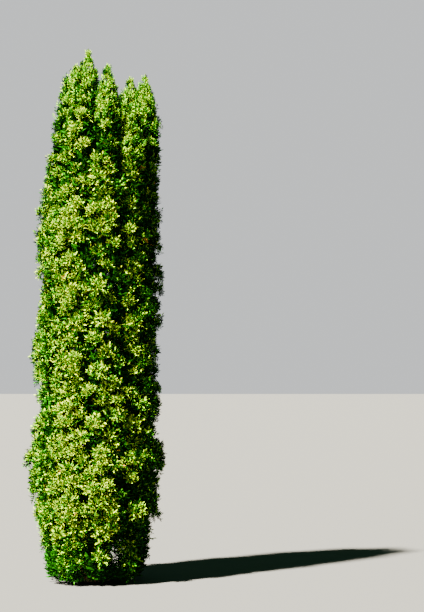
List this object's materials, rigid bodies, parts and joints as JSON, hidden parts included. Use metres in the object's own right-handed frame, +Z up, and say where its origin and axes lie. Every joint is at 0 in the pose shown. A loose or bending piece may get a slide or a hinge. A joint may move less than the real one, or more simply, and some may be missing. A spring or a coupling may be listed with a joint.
{
  "type": "columnar arborvitae",
  "caption": "Tall columnar evergreen with upright stems from a single butt, each wrapped in dense tiers of scale-leaf sprays, full to the ground and ending in separate pointed tips.",
  "frame": {"origin": "middle of the trunk's flat cut at ground level", "axes": "+Z straight up along the height of the tree, -Y towards the side that is seen in the picture, +X to the right of that view"},
  "size_m": [1.19, 1.1456, 4.455],
  "materials": {
    "bark": "matte, fibrous strips",
    "foliage": "satin",
    "foliage_tips": "satin"
  },
  "bodies": {
    "root": {"trunk": "bark", "stem_left": "bark", "stem_front": "bark", "stem_front_right": "bark", "stem_right": "bark", "stem_back_right": "bark", "stem_back": "bark", "foliage_main_foot": "foliage", "foliage_main_lower": "foliage", "foliage_main_upper": "foliage", "foliage_main_crown": "foliage_tips", "foliage_left_foot": "foliage", "foliage_left_lower": "foliage", "foliage_left_upper": "foliage", "foliage_left_crown": "foliage_tips", "foliage_front_foot": "foliage", "foliage_front_lower": "foliage", "foliage_front_upper": "foliage", "foliage_front_crown": "foliage_tips", "foliage_front_right_foot": "foliage", "foliage_front_right_lower": "foliage", "foliage_front_right_upper": "foliage", "foliage_front_right_crown": "foliage_tips", "foliage_right_foot": "foliage", "foliage_right_lower": "foliage", "foliage_right_upper": "foliage", "foliage_right_crown": "foliage_tips", "foliage_back_right_foot": "foliage", "foliage_back_right_lower": "foliage", "foliage_back_right_upper": "foliage", "foliage_back_right_crown": "foliage_tips", "foliage_back_foot": "foliage", "foliage_back_lower": "foliage", "foliage_back_upper": "foliage", "foliage_back_crown": "foliage_tips"}
  },
  "joints": []
}
